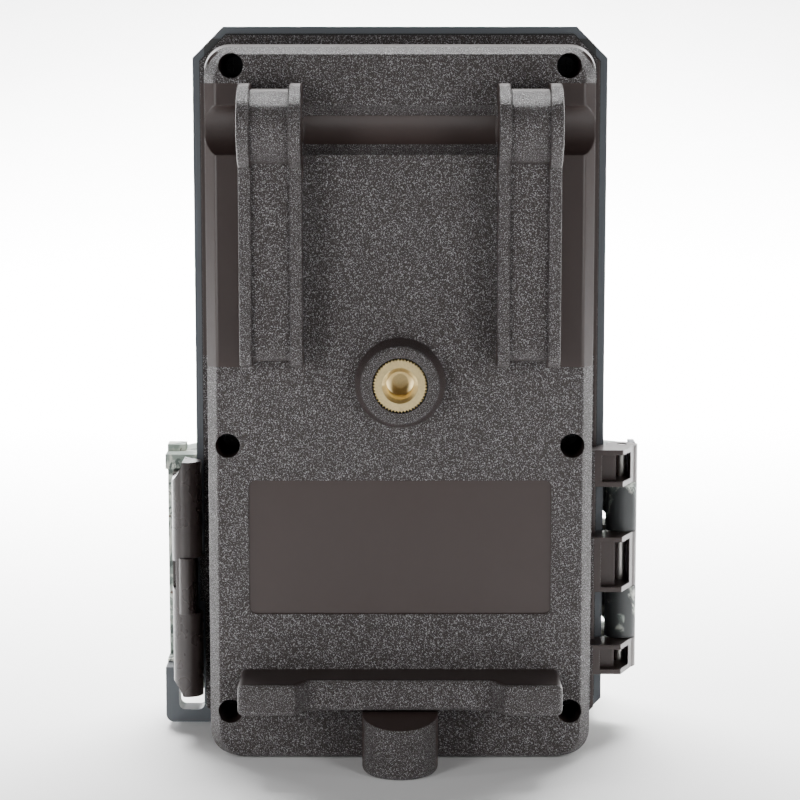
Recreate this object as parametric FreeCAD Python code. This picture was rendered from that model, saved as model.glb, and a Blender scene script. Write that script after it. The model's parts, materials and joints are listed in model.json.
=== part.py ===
import FreeCAD, Part
import math
import os

# Trail camera in two hinged half shells, in millimetres.  +Z is up, the lens side looks
# towards -Y and the back towards +Y.  The origin is the middle of the mouth of the
# tripod socket in the bottom plane.  "Depth" is counted from the back face towards the
# lens side, so it is negative for what stands out of the back.

# case halves
case_height = 139.0
front_half_width = 40.2
front_shell_depth = 33.0
front_wall = 2.4
front_chamfer = 6.0
front_edge_radius = 2.6
back_wall = 2.2
back_taper_depth = 20.0      # depth of the body in front of its rim
back_taper = 3.35            # how far its sides lean out on each side
bevel_depth = 2.6            # most of it in a bevel around the face
bevel_width = 2.0
bevel_top = 1.4
bevel_bottom = 0.3
flange_thickness = 2.7
flange_inset = 1.7           # rim of the back half, inside the front half's outline
flange_chamfer = 5.0
body_inset = 0.85            # foot of the slope, inside the rim
back_corner_radius = 5.0
back_edge_radius = 0.7
parting_gap = 0.3

# bottom tripod boss, which sets the back face's place
boss_standoff = 8.0
bottom_boss_radius = 7.1
bottom_boss_height = 11.2
bottom_boss_slope = 1.6      # the top is lower at the outer end
bottom_boss_edge = 1.3

# 1/4-20 brass inserts
insert_radius = 5.2
insert_length = 7.6
insert_bore_radius = 2.6
insert_tip = 1.2               # cone at the bottom of the bore
insert_bore_depth = 5.8
knurl_teeth = 48
knurl_depth = 0.25

# rear boss
rear_boss_height = 4.3
rear_boss_top_radius = 7.25
rear_boss_foot_radius = 8.7
rear_boss_z = 72.5

# label recess
label_half_width = 28.6
label_bottom = 28.3
label_height = 25.7
label_depth = 0.45
label_corner = 1.3

# strap rails and cable lock eyelets
rail_inner_x = 17.9
rail_width = 11.7
rail_ridge = 2.35
rail_web_recess = 1.0
rail_rise = 7.0
strap_slot_height = 4.4
rail_bottom_z = 76.0
rail_foot = 3.5
eyelet_below_top = 18.7      # middle of the eyelet head, under the top of the case
eyelet_radius = 7.9
eyelet_axis_rise = 4.4
lock_hole_radius = 4.95
lock_hole_rise = 2.4         # hole's middle, out from the back face
lock_hole_drop = 0.7         # and below the middle of the head
groove_ease = 0.2            # the groove is this much wider than the holes
rail_edge_radius = 0.4

# tree bar at the bottom of the back
bar_bottom = 11.65
bar_height = 5.95
bar_half_width = 30.2
bar_middle_half = 17.0
bar_pad_inner = 19.5
bar_middle_rise = 8.7
bar_pad_rise = 12.5
bar_edge_radius = 1.1

# six deep screw holes in the back: distance from the face's side, height
screw_hole_radius = 2.3
screw_top_drop = 7.6
screw_places = [(3.1, case_height - screw_top_drop), (1.9, 60.6), (2.0, 9.4)]
screw_post_wall = 0.9
screw_seat_depth = 13.0
screw_seat_thickness = 1.6
screw_head_radius = 2.05
screw_head_height = 1.5
screw_shank_radius = 1.1
screw_pass_radius = 1.3
screw_length = 6.0

# hinge on the -X side
hinge_side_gap = 0.6          # between the barrels and the side of the front half
hinge_behind = 0.9            # and in front of the parting plane
hinge_pin_radius = 1.0
hinge_pin_clearance = 0.06
hinge_barrel_radius = 3.1
hinge_bottom = 12.8
hinge_lengths = [5.9, 10.6, 10.9, 10.0, 7.2]
hinge_face_gap = 0.15
hinge_plate = 1.0
hinge_arm_length = 8.4
hinge_web_length = 6.2
hinge_window_outer = 1.3
hinge_window_inner = 1.7

# ears of the front half
ear_reach = 6.7              # out from the side of the front half
hinge_ear_gap = 0.7           # between the barrels and the ear
hinge_ear_drop = 1.0          # top of the ear, under the top arm
hinge_ear_outer = 4.1         # thickness at the outer edge
hinge_ear_root = 9.1          # thickness where it meets the side
latch_ear_outer = 4.4
latch_ear_root = 13.0
ear_bottom = 11.2
ear_top = 54.6
ear_cheek = 1.6
sight_hole = 2.4              # small open triangles beside the knuckles
lip_height = 1.3
lip_width = 3.6
hinge_lip_height = 0.8
hinge_lip_width = 1.2

# padlock loop under the latch
loop_wall = 2.6
loop_bottom = 1.0
loop_thickness = 5.0
loop_side_recess = 1.0
loop_sink = 1.25
loop_corner = 1.6

# latch lever on the +X side
latch_reach = 3.1             # pin's middle, out from the side of the front half
latch_ahead = 7.9             # and in front of the parting plane
latch_bottom = 8.8
latch_top = 55.3
latch_pin_radius = 1.0
latch_pin_clearance = 0.06
latch_barrel_radius = 2.3
latch_roll_radius = 2.9
latch_roll_behind = 7.1       # roll's middle, behind the parting plane
latch_roll_reach = 1.4
latch_skirt = 5.6
latch_web = 1.8
latch_pivot_bottom = 13.0
latch_pivot_top = 51.5
latch_ear_setback = 2.2
latch_hub_bottom = 25.4
latch_hub_top = 36.5
latch_scoop = 7.4
latch_scoop_reach = 5.0
latch_hub_radius = 1.6
latch_hub_shift = 2.0         # hub's middle, behind the roll's
latch_notch = 0.75
latch_notch_bottom = 30.2
latch_notch_top = 35.7
keeper_gap = 0.35
keeper_reach = 1.1
keeper_thickness = 1.6
keeper_bottom = 26.4
keeper_top = 35.5

# gasket between the halves
gasket_width = 1.5
gasket_height = 1.75
rim_land = 4.2
rim_depth = 3.0
gasket_clearance = 0.05

# battery tray and cells
cell_diameter = 14.3
cell_length = 49.2
cell_nub_length = 1.3
cell_nub_radius = 2.75
cell_clearance = 0.15
cell_rib = 0.4
spring_length = 2.9
spring_radius = 3.2
contact_thickness = 0.4
contact_margin = 2.55         # the contacts are this much inside the cells all round
tray_rear_gap = 2.8           # behind the tray, for the screw posts' roots
tray_front_gap = 1.8          # in front of it, up to the parting plane
tray_floor = 1.2
tray_clearance = 0.3
tray_end_wall = 1.4

# inner panel of the front half
panel_setback = 2.0          # rear face of the panel, in from the rim
panel_thickness = 1.8
panel_clearance = 0.2
panel_post_radius = 3.0
panel_post_inset_x = 9.6
panel_post_inset_z = 9.0
panel_screw_head_radius = 2.0

# screen
lcd_half_width = 26.0
lcd_height = 38.0
lcd_below_top = 20.0         # top of the window, under the top of the case
lcd_window_thickness = 1.0
lcd_module_thickness = 3.0
lcd_border = 2.0

# circuit board
board_setback = 8.0          # from the panel's rear face
board_thickness = 1.6
board_margin = 2.0

# keys on the panel
key_row_z = 60.0
key_radius = 4.2
key_pitch = 11.5
key_clearance = 0.3
key_proud = 0.7
key_flange = 0.9
key_flange_thickness = 0.8
key_travel = 0.4
key_stem_radius = 1.5
switch_size = 6.0
switch_height = 3.4
switch_plunger_radius = 1.75
side_key_x = 24.0
side_key_half = 4.6

# power slider
slider_x = -18.0
slider_z = 24.0
slider_half_travel = 3.0
slider_half_width = 2.4
slider_half_height = 2.0

# front face, from the top down
ir_window_half_width = 28.0
ir_window_height = 31.0
ir_window_below_top = 10.0
ir_window_thickness = 2.0
ir_window_ledge = 2.0
ir_led_rows = 4
ir_led_columns = 9
ir_led_pitch = 6.2
ir_led_radius = 1.5
ir_board_thickness = 1.2
lens_z = 77.5
lens_bezel_radius = 14.5
lens_bezel_rise = 5.0
lens_window_radius = 9.5
lens_window_thickness = 1.5
lens_barrel_radius = 7.0
lens_barrel_length = 13.0
lens_opening_radius = 11.0
sensor_thickness = 1.2
sensor_half = 9.0
pir_z = 38.0
pir_half_width = 17.0
pir_half_height = 13.5
pir_skin = 0.8
pir_rise = 7.0
pir_frame = 3.2
pir_frame_rise = 3.0
side_window_x = 25.5
side_window_radius = 3.0
status_window_hole = 0.05

# memory card and its socket
card_x = 15.0
card_bottom = 9.5
card_width = 24.0
card_length = 32.0
card_thickness = 2.1
socket_width = 28.0
socket_height = 28.0
socket_thickness = 3.0

# sound
speaker_radius = 8.0
speaker_height = 4.0
speaker_z = 14.0
sound_hole_radius = 0.7
microphone_radius = 3.0
microphone_height = 2.2
microphone_x = -25.0
microphone_z = 62.0

# sockets in the bottom and their rubber cover
jack_x = -7.5
jack_width = 9.0
jack_depth = 9.0
jack_height = 11.4
jack_hole_radius = 2.75
usb_x = 6.8
usb_width = 7.7
usb_thickness = 4.0
usb_height = 9.0
cover_half_width = 13.2
cover_thickness = 1.4
cover_setback = 2.0          # rear edge, in front of the board's rear face
cover_length = 11.6
cover_gap = 0.3
cover_pin_radius = 0.5
cover_pin_clearance = 0.06
cover_pin_length = 1.0

# worked out from the sizes above
vec = FreeCAD.Vector
parting_depth = back_taper_depth + flange_thickness
front_rim_depth = parting_depth + parting_gap
front_face_depth = front_rim_depth + front_shell_depth
front_inner_depth = front_face_depth - front_wall
flange_half_width = front_half_width - flange_inset
flange_top = case_height - flange_inset
base_half_width = flange_half_width - body_inset
base_top = flange_top - 2 * body_inset
face_half_width = base_half_width - back_taper
face_bottom = 0.5
face_top = base_top - 2.1
eyelet_z = case_height - eyelet_below_top
lock_axis_z = eyelet_z - lock_hole_drop
rail_outer_x = rail_inner_x + rail_width
post_radius = screw_hole_radius + screw_post_wall
post_end_depth = screw_seat_depth + screw_seat_thickness
ear_x = front_half_width + ear_reach
contact_half_width = cell_diameter / 2 - contact_margin
hinge_x = -(front_half_width + hinge_side_gap + hinge_barrel_radius)
hinge_depth = parting_depth + hinge_behind
hinge_arm_rear = hinge_depth - hinge_arm_length
hinge_ear_rear = hinge_depth + hinge_barrel_radius + hinge_ear_gap
hinge_breaks = [hinge_bottom + sum(hinge_lengths[:count]) for count in range(6)]
hinge_ear_top = hinge_breaks[-1] - hinge_ear_drop
latch_x = front_half_width + latch_reach
latch_depth = parting_depth + latch_ahead
latch_roll_x = front_half_width + latch_roll_reach
latch_roll_depth = parting_depth - latch_roll_behind
loop_rear_depth = parting_depth + 0.5
tray_rear_depth = back_wall + tray_rear_gap
tray_front_depth = parting_depth - tray_front_gap
panel_depth = front_rim_depth + panel_setback
board_depth = panel_depth + board_setback
cover_rear_depth = board_depth + cover_setback
cover_hinge_depth = cover_rear_depth + cover_length
lcd_top = case_height - lcd_below_top
ir_top = case_height - ir_window_below_top
panel_front_depth = panel_depth + panel_thickness
board_front_depth = board_depth + board_thickness
sides = (-1, 1)


# ---- shape helpers ----

def y_at(depth):
    return -boss_standoff - depth


def block(x0, x1, d0, d1, z0, z1):
    corner = vec(min(x0, x1), y_at(max(d0, d1)), min(z0, z1))
    return Part.makeBox(abs(x1 - x0), abs(d1 - d0), abs(z1 - z0), corner)


def rod_x(radius, x0, x1, depth, z):
    return Part.makeCylinder(radius, x1 - x0, vec(x0, y_at(depth), z), vec(1, 0, 0))


def rod_y(radius, x, d0, d1, z):
    return Part.makeCylinder(radius, d1 - d0, vec(x, y_at(d0), z), vec(0, -1, 0))


def rod_z(radius, x, depth, z0, z1):
    return Part.makeCylinder(radius, z1 - z0, vec(x, y_at(depth), z0), vec(0, 0, 1))


def cone_y(radius0, radius1, x, d0, d1, z):
    return Part.makeCone(radius0, radius1, d1 - d0, vec(x, y_at(d0), z), vec(0, -1, 0))


def prism_x(points, x0, x1):
    """Outline of (depth, z) points drawn out along X."""
    corners = [vec(x0, y_at(depth), z) for depth, z in points]
    return Part.Face(Part.makePolygon(corners + corners[:1])).extrude(vec(x1 - x0, 0, 0))


def prism_y(points, d0, d1):
    """Outline of (x, z) points drawn out along the depth."""
    corners = [vec(x, y_at(d0), z) for x, z in points]
    return Part.Face(Part.makePolygon(corners + corners[:1])).extrude(vec(0, d0 - d1, 0))


def prism_z(points, z0, z1):
    """Outline of (x, depth) points drawn up from z0 to z1."""
    corners = [vec(x, y_at(depth), z0) for x, depth in points]
    return Part.Face(Part.makePolygon(corners + corners[:1])).extrude(vec(0, 0, z1 - z0))


def round_wire(half_width, z0, z1, radius, depth, middle=0.0):
    """Rounded rectangle standing at one depth."""
    y = y_at(depth)
    in_x = half_width - radius
    centres = [(in_x, z0 + radius), (in_x, z1 - radius), (-in_x, z1 - radius), (-in_x, z0 + radius)]
    arcs = []
    for quarter, (x, z) in enumerate(centres):
        turns = [math.radians(90 * quarter + step) for step in (-90, -45, 0)]
        arcs.append([vec(middle + x + radius * math.cos(turn), y, z + radius * math.sin(turn))
                     for turn in turns])
    edges = []
    for arc, following in zip(arcs, arcs[1:] + arcs[:1]):
        edges.append(Part.Arc(*arc).toShape())
        edges.append(Part.LineSegment(arc[2], following[0]).toShape())
    return Part.Wire(edges)


def round_slab(half_width, z0, z1, radius, d0, d1, middle=0.0):
    wire = round_wire(half_width, z0, z1, radius, d0, middle)
    return Part.Face(wire).extrude(vec(0, d0 - d1, 0))


def chamfered(half_width, z0, z1, cut):
    return [(half_width - cut, z0), (half_width, z0 + cut), (half_width, z1 - cut),
            (half_width - cut, z1), (cut - half_width, z1), (-half_width, z1 - cut),
            (-half_width, z0 + cut), (cut - half_width, z0)]


def front_outline(inset):
    """Outline of the front half, drawn in evenly; the corner cuts shrink with it."""
    corner = front_chamfer - inset * (2 - math.sqrt(2))
    return chamfered(front_half_width - inset, inset, case_height - inset, corner)


def back_wire(depth, inset):
    """Outline of the back's drafted sides at one depth, drawn in by the inset."""
    share = (back_taper_depth - depth) / (back_taper_depth - bevel_depth)
    half_width = base_half_width - (back_taper - bevel_width) * share - inset
    low = (face_bottom - bevel_bottom) * share + inset
    high = base_top - (base_top - face_top - bevel_top) * share - inset
    return round_wire(half_width, low, high, back_corner_radius - 0.5 * inset, depth)


def back_block(inset, d0, d1):
    """Drafted block of the back, from one depth to another."""
    foot = min(d1, back_taper_depth)
    shape = Part.makeLoft([back_wire(d0, inset), back_wire(foot, inset)], True, True)
    if d1 > back_taper_depth:
        straight = Part.Face(back_wire(foot, inset)).extrude(vec(0, foot - d1, 0))
        shape = shape.fuse(straight).removeSplitter()
    return shape


def back_body():
    """Outside of the back: a bevel around the face, then the drafted sides."""
    face = round_wire(face_half_width, face_bottom, face_top, back_corner_radius, 0.0)
    bevel = Part.makeLoft([face, back_wire(bevel_depth, 0.0)], True, True)
    body = bevel.fuse(back_block(0.0, bevel_depth, back_taper_depth)).removeSplitter()
    return body.makeFillet(back_edge_radius, edges_at_depth(body, 0.0))


def edges_at_depth(shape, depth):
    y = y_at(depth)
    return [edge for edge in shape.Edges if all(abs(v.Y - y) < 1e-4 for v in edge.Vertexes)]


def edges_along(shape, direction):
    """Straight edges that run along one axis."""
    found = []
    for edge in shape.Edges:
        if len(edge.Vertexes) == 2 and isinstance(edge.Curve, Part.Line):
            if abs(abs(edge.Curve.Direction.dot(direction)) - 1.0) < 1e-6:
                found.append(edge)
    return found


def save(node, shape):
    if isinstance(shape, list):
        shape = Part.makeCompound(shape)
    elif len(shape.Solids) == 1:
        shape = shape.Solids[0]
    print(node, len(shape.Solids), round(shape.Volume, 1), shape.isValid())
    shape.exportStep("parts/" + node + ".step")


# ---- back half ----

def screw_spots():
    return [(side * (face_half_width - inset), z) for inset, z in screw_places for side in sides]


def rail_profile(drop, side):
    """Strap rail and eyelet head, lowered by the drop; widths are set by the caller."""
    rise = rail_rise - drop
    head = eyelet_radius - drop
    x0, x1 = side
    foot_end = rail_bottom_z + rail_foot
    rail = block(x0, x1, 0.6, -rise, rail_bottom_z + drop, eyelet_z)
    outer = [edge for edge in edges_along(rail, vec(1, 0, 0))
             if edge.Vertexes[0].Z < foot_end and edge.Vertexes[0].Y > -boss_standoff]
    rail = rail.makeFillet(3.0, outer)
    head_block = block(x0, x1, 0.6, -eyelet_axis_rise, eyelet_z - head, eyelet_z + head)
    return rail.fuse([head_block, rod_x(head, x0, x1, -eyelet_axis_rise, eyelet_z)])


def softened(ridge):
    """Ridge with both long edges rounded where it stands out of the back."""
    ridge = ridge.removeSplitter()
    outer = [edge for edge in ridge.Edges if min(v.Y for v in edge.Vertexes) > y_at(-0.5)
             and abs(edge.Vertexes[0].X - edge.Vertexes[-1].X) < 1e-6]
    return ridge.makeFillet(rail_edge_radius, outer)


def strap_rail(side):
    """Ridge, lower web, ridge, with the strap's slot underneath."""
    ridge_in = (rail_inner_x, rail_inner_x + rail_ridge)
    web = (rail_inner_x + rail_ridge, rail_outer_x - rail_ridge)
    ridge_out = (rail_outer_x - rail_ridge, rail_outer_x)
    slices = [softened(rail_profile(0.0, ridge_in)), rail_profile(rail_web_recess, web),
              softened(rail_profile(0.0, ridge_out))]
    rail = slices[0].fuse(slices[1:])
    slot = block(rail_inner_x - 1, rail_outer_x + 1, 0.0, -strap_slot_height,
                 rail_bottom_z + rail_foot, eyelet_z - eyelet_radius - 1.6)
    rail = rail.cut(slot.makeFillet(1.0, edges_along(slot, vec(1, 0, 0))))
    if side < 0:
        rail = rail.mirror(vec(0, 0, 0), vec(1, 0, 0))
    return rail


def tree_bar():
    outline = [(-bar_half_width, 0.6), (-bar_half_width, -bar_pad_rise),
               (-bar_pad_inner, -bar_pad_rise), (-bar_middle_half, -bar_middle_rise),
               (bar_middle_half, -bar_middle_rise), (bar_pad_inner, -bar_pad_rise),
               (bar_half_width, -bar_pad_rise), (bar_half_width, 0.6)]
    bar = prism_z(outline, bar_bottom, bar_bottom + bar_height)
    y_out = y_at(-bar_middle_rise) - 1e-3
    outer = [edge for edge in bar.Edges if all(v.Y > y_out for v in edge.Vertexes)
             or all(abs(v.X) > bar_half_width - 1e-6 for v in edge.Vertexes)
             and max(v.Y for v in edge.Vertexes) > y_out]
    return bar.makeFillet(bar_edge_radius, outer)


def bottom_boss():
    """Half-round post for the bottom socket, with a sloping top."""
    post = rod_z(bottom_boss_radius, 0, -boss_standoff, 0, bottom_boss_height)
    post = post.fuse(block(-bottom_boss_radius, bottom_boss_radius, 0.6, -boss_standoff,
                           0, bottom_boss_height)).removeSplitter()
    low = bottom_boss_height - bottom_boss_slope
    reach = boss_standoff + bottom_boss_radius + 1
    wedge = prism_x([(-boss_standoff, bottom_boss_height), (-reach, low - 0.2),
                     (-reach, bottom_boss_height + 2), (-boss_standoff, bottom_boss_height + 2)],
                    -bottom_boss_radius - 1, bottom_boss_radius + 1)
    post = post.cut(wedge)
    rim = [edge for edge in post.Edges if all(abs(v.Z) < 1e-6 for v in edge.Vertexes)
           and max(v.Y for v in edge.Vertexes) > -1e-6]
    return post.makeFillet(bottom_boss_edge, rim)


def rear_boss():
    boss = cone_y(rear_boss_top_radius, rear_boss_foot_radius, 0, -rear_boss_height, 0.6,
                  rear_boss_z)
    top = edges_at_depth(boss, -rear_boss_height)
    return boss.makeFillet(0.9, top)


def hinge_arm(z0, z1):
    """One arm of the back half: plates above and below a sunk web with a window."""
    half = hinge_barrel_radius
    root_x = -(base_half_width - 1.6)
    outline = [(root_x, hinge_arm_rear), (hinge_x + 0.5, hinge_arm_rear),
               (hinge_x - half, hinge_depth), (hinge_x, hinge_depth),
               (-flange_half_width, parting_depth - 0.5), (root_x, parting_depth - 0.5)]
    arm = prism_z(outline, z0, z1).fuse(rod_z(half, hinge_x, hinge_depth, z0, z1))
    low = z0 + hinge_plate
    high = z1 - hinge_plate
    web_rear = hinge_depth - hinge_web_length
    panel = block(-flange_half_width - 0.8, hinge_x + 0.4, hinge_arm_rear - 1, web_rear, low, high)
    window = block(hinge_x - hinge_window_outer, hinge_x + hinge_window_inner,
                   hinge_arm_rear - 1, hinge_depth, low, high)
    return arm.cut([panel, window])


def lock_groove(x0, x1):
    """Stretch of the cable lock's groove beside or between the eyelets."""
    return rod_x(lock_hole_radius + groove_ease, x0, x1, -lock_hole_rise, lock_axis_z)


def make_back_shell():
    outside = back_body()
    flange = prism_y(chamfered(flange_half_width, 0.0, flange_top, flange_chamfer),
                     back_taper_depth, parting_depth)
    cavity = back_block(back_wall, back_wall, parting_depth + 1)
    shell = outside.fuse(flange).cut(cavity)

    # walls behind the groove, the boss and the screw holes
    backing = [rod_x(lock_hole_radius + back_wall, -60, 60, -lock_hole_rise, lock_axis_z),
               rod_y(rear_boss_top_radius, 0, 0.3, insert_length - rear_boss_height + 1.3,
                     rear_boss_z)]
    backing += [rod_y(post_radius, x, 0.3, post_end_depth, z) for x, z in screw_spots()]
    backing = backing[0].fuse(backing[1:]).common(outside)

    # what stands out of the back and the sides
    added = [backing, strap_rail(1), strap_rail(-1), tree_bar(), bottom_boss(), rear_boss()]
    added += [hinge_arm(z0, z1) for z0, z1 in zip(hinge_breaks[0::2], hinge_breaks[1::2])]
    added.append(block(base_half_width - 1.0, flange_half_width + keeper_reach,
                       parting_depth - 0.9 - keeper_thickness, parting_depth - 0.9,
                       keeper_bottom, keeper_top))
    shell = shell.fuse(added)

    # recesses, holes and the cable lock's groove
    cuts = [round_slab(label_half_width, label_bottom, label_bottom + label_height, label_corner,
                       -0.1, label_depth),
            rod_x(lock_hole_radius, -60, 60, -lock_hole_rise, lock_axis_z),
            lock_groove(-60, -rail_outer_x), lock_groove(-rail_inner_x, rail_inner_x),
            lock_groove(rail_outer_x, 60),
            rod_y(insert_radius, 0, -rear_boss_height - 1, insert_length - rear_boss_height,
                  rear_boss_z),
            rod_z(insert_radius, 0, -boss_standoff, -1, insert_length),
            rod_z(hinge_pin_radius, hinge_x, hinge_depth, hinge_breaks[0] - 1,
                  hinge_breaks[-1] + 1)]
    for x, z in screw_spots():
        cuts.append(rod_y(screw_hole_radius, x, -3, screw_seat_depth, z))
        cuts.append(rod_y(screw_pass_radius, x, 0, post_end_depth + 1, z))
    return shell.cut(cuts).removeSplitter()


def tripod_insert():
    """Knurled brass insert with its mouth at the origin and its body along -Z."""
    points = []
    for tooth in range(2 * knurl_teeth):
        turn = math.pi * tooth / knurl_teeth
        radius = insert_radius - (knurl_depth if tooth % 2 else 0.0)
        points.append(vec(radius * math.cos(turn), radius * math.sin(turn), 0))
    body = Part.Face(Part.makePolygon(points + points[:1])).extrude(vec(0, 0, -insert_length))
    down = vec(0, 0, -1)
    bore = Part.makeCylinder(insert_bore_radius, insert_bore_depth, vec(0, 0, 0), down)
    tip = Part.makeCone(insert_bore_radius, 0, insert_tip, vec(0, 0, -insert_bore_depth), down)
    return body.cut([bore, tip])


def rear_insert():
    insert = tripod_insert()
    insert.rotate(vec(0, 0, 0), vec(1, 0, 0), -90)
    insert.translate(vec(0, y_at(-rear_boss_height), rear_boss_z))
    return insert


def bottom_insert():
    insert = tripod_insert()
    insert.rotate(vec(0, 0, 0), vec(1, 0, 0), 180)
    return insert


# ---- batteries ----

cell_axis_depth = tray_rear_depth + tray_floor + cell_diameter / 2 + cell_clearance
cell_pitch = cell_diameter + 2 * cell_clearance + cell_rib
tray_inset = back_wall + tray_clearance
bay_half_length = (cell_length + cell_nub_length + spring_length
                   + 2 * contact_thickness + cell_clearance) / 2


def cell_rows():
    """Height and direction of each cell: as many as the tray has room for."""
    low = face_bottom + tray_inset + tray_end_wall
    high = face_top - tray_inset - tray_end_wall
    count = int((high - low + cell_rib) / cell_pitch)
    first = (low + high - (count - 1) * cell_pitch) / 2
    return [(first + row * cell_pitch, 1 if row % 2 else -1) for row in range(count)]


def make_tray():
    tray = back_block(tray_inset, tray_rear_depth, tray_front_depth)
    rows = cell_rows()
    low = rows[0][0] - cell_pitch / 2
    high = rows[-1][0] + cell_pitch / 2
    open_depth = tray_front_depth + 1
    cuts = [block(-bay_half_length, bay_half_length, cell_axis_depth, open_depth, low, high)]
    channel = cell_diameter / 2 + cell_clearance
    cuts += [rod_x(channel, -bay_half_length, bay_half_length, cell_axis_depth, z)
             for z, side in rows]
    for x, z in screw_spots():
        cuts.append(rod_y(post_radius + tray_clearance, x, 0, post_end_depth + 0.05, z))
        cuts.append(rod_y(screw_shank_radius + 0.05, x, 0, open_depth, z))

    # light pockets beside the cells, between the screw lugs
    heights = sorted(z for x, z in screw_places)
    for side in sides:
        for z0, z1 in zip(heights, heights[1:]):
            cuts.append(block(side * (bay_half_length + tray_end_wall),
                              side * (face_half_width - tray_inset - tray_end_wall),
                              tray_rear_depth + tray_floor, open_depth,
                              z0 + post_radius + 3.0, z1 - post_radius - 3.0))
    return tray.cut(cuts)


def make_cells():
    cells = []
    for z, side in cell_rows():
        start = -bay_half_length + contact_thickness + spring_length
        body = rod_x(cell_diameter / 2, start, start + cell_length, cell_axis_depth, z)
        body = body.makeFillet(0.5, [edge for edge in body.Edges if len(edge.Vertexes) == 1])
        nub = rod_x(cell_nub_radius, start + cell_length - 0.1,
                    start + cell_length + cell_nub_length, cell_axis_depth, z)
        cell = body.fuse(nub)
        if side < 0:
            cell = cell.mirror(vec(0, 0, 0), vec(1, 0, 0))
        cells.append(cell)
    return cells


def make_springs():
    springs = []
    for z, side in cell_rows():
        foot = -side * (bay_half_length - contact_thickness)
        springs.append(Part.makeCone(spring_radius, spring_radius - 0.8, spring_length,
                                     vec(foot, y_at(cell_axis_depth), z), vec(side, 0, 0)))
    return springs


def make_contacts():
    plates = []
    for z, side in cell_rows():
        for end in sides:
            wall = end * bay_half_length
            plates.append(block(wall - end * contact_thickness, wall,
                                cell_axis_depth - contact_half_width,
                                cell_axis_depth + contact_half_width,
                                z - contact_half_width, z + contact_half_width))
    return plates


def make_tray_screws():
    screws = []
    for x, z in screw_spots():
        head = rod_y(screw_head_radius, x, screw_seat_depth - screw_head_height,
                     screw_seat_depth, z)
        head = head.makeFillet(0.4, edges_at_depth(head, screw_seat_depth - screw_head_height))
        shank = rod_y(screw_shank_radius, x, screw_seat_depth - 0.1,
                      screw_seat_depth + screw_length, z)
        slot = screw_head_radius * 0.6
        drive_depth = screw_seat_depth - screw_head_height
        cross = block(x - slot, x + slot, drive_depth - 1, drive_depth + 0.7, z - 0.3, z + 0.3)
        upright = block(x - 0.3, x + 0.3, drive_depth - 1, drive_depth + 0.7, z - slot, z + slot)
        screws.append(head.fuse(shank).cut([cross, upright]))
    return screws


def make_hinge_pin():
    radius = hinge_pin_radius
    return rod_z(radius, hinge_x, hinge_depth, hinge_breaks[0] + 0.2, hinge_breaks[-1] - 0.2)


# ---- front half ----

def panel_posts():
    x = front_half_width - panel_post_inset_x
    return [(side * x, z) for z in (panel_post_inset_z, case_height - panel_post_inset_z)
            for side in sides]


def hinge_knuckle(z0, z1):
    """Barrel of the front half with the arm that carries it."""
    low = z0 + hinge_face_gap
    high = z1 - hinge_face_gap
    barrel = rod_z(hinge_barrel_radius, hinge_x, hinge_depth, low, high)
    arm = block(-ear_x, hinge_x + hinge_barrel_radius - 0.7, hinge_depth, hinge_ear_rear + 1,
                low, high)
    return barrel.fuse(arm)


def hinge_ear():
    outline = [(-front_half_width + 1.2, hinge_ear_rear), (-ear_x, hinge_ear_rear),
               (-ear_x, hinge_ear_rear + hinge_ear_outer),
               (-front_half_width, hinge_ear_rear + hinge_ear_root),
               (-front_half_width + 1.2, hinge_ear_rear + hinge_ear_root)]
    ear = prism_z(outline, hinge_breaks[0], hinge_ear_top)
    lip = block(-ear_x, -ear_x + hinge_lip_width, hinge_ear_rear,
                hinge_ear_rear + hinge_ear_outer, hinge_ear_top - 0.5,
                hinge_ear_top + hinge_lip_height)
    ear = ear.fuse([lip] + [hinge_knuckle(z0, z1)
                            for z0, z1 in zip(hinge_breaks[1::2], hinge_breaks[2::2])])
    inner = -front_half_width - 0.3
    holes = [rod_z(hinge_pin_radius + hinge_pin_clearance, hinge_x, hinge_depth,
                   hinge_breaks[0] - 1, hinge_breaks[-1] + 1)]
    for z in hinge_breaks[1:-1:2]:
        low = z + hinge_face_gap
        holes.append(prism_y([(inner, low), (inner - sight_hole, low),
                              (inner, low + 1.3 * sight_hole)], hinge_depth, front_face_depth))
    return ear.cut(holes)


def latch_ear():
    """Ear that carries the latch's pin, and the padlock loop under it."""
    rear = latch_depth + latch_ear_setback
    root_x = front_half_width - 1.2
    outline = [(root_x, rear), (ear_x, rear), (ear_x, rear + latch_ear_outer),
               (front_half_width, rear + latch_ear_root), (root_x, rear + latch_ear_root)]
    ear = prism_z(outline, ear_bottom, ear_top)
    lip = block(ear_x - lip_width, ear_x, rear, rear + latch_ear_outer, ear_top - 0.5,
                ear_top + lip_height)
    cheek_outline = [(root_x, rear + 1), (root_x, latch_depth - latch_barrel_radius - 0.6),
                     (ear_x, latch_depth - latch_barrel_radius - 0.6), (ear_x, rear + 1)]
    low_cheek = prism_z(cheek_outline, ear_bottom, latch_pivot_bottom - hinge_face_gap)
    high_cheek = prism_z(cheek_outline, latch_pivot_top + hinge_face_gap, ear_top)
    ear = ear.fuse([lip, low_cheek, high_cheek])
    pocket = rod_z(latch_barrel_radius + 0.4, latch_x, latch_depth,
                   latch_pivot_bottom - hinge_face_gap, latch_pivot_top + hinge_face_gap)
    return ear.cut(pocket)


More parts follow.
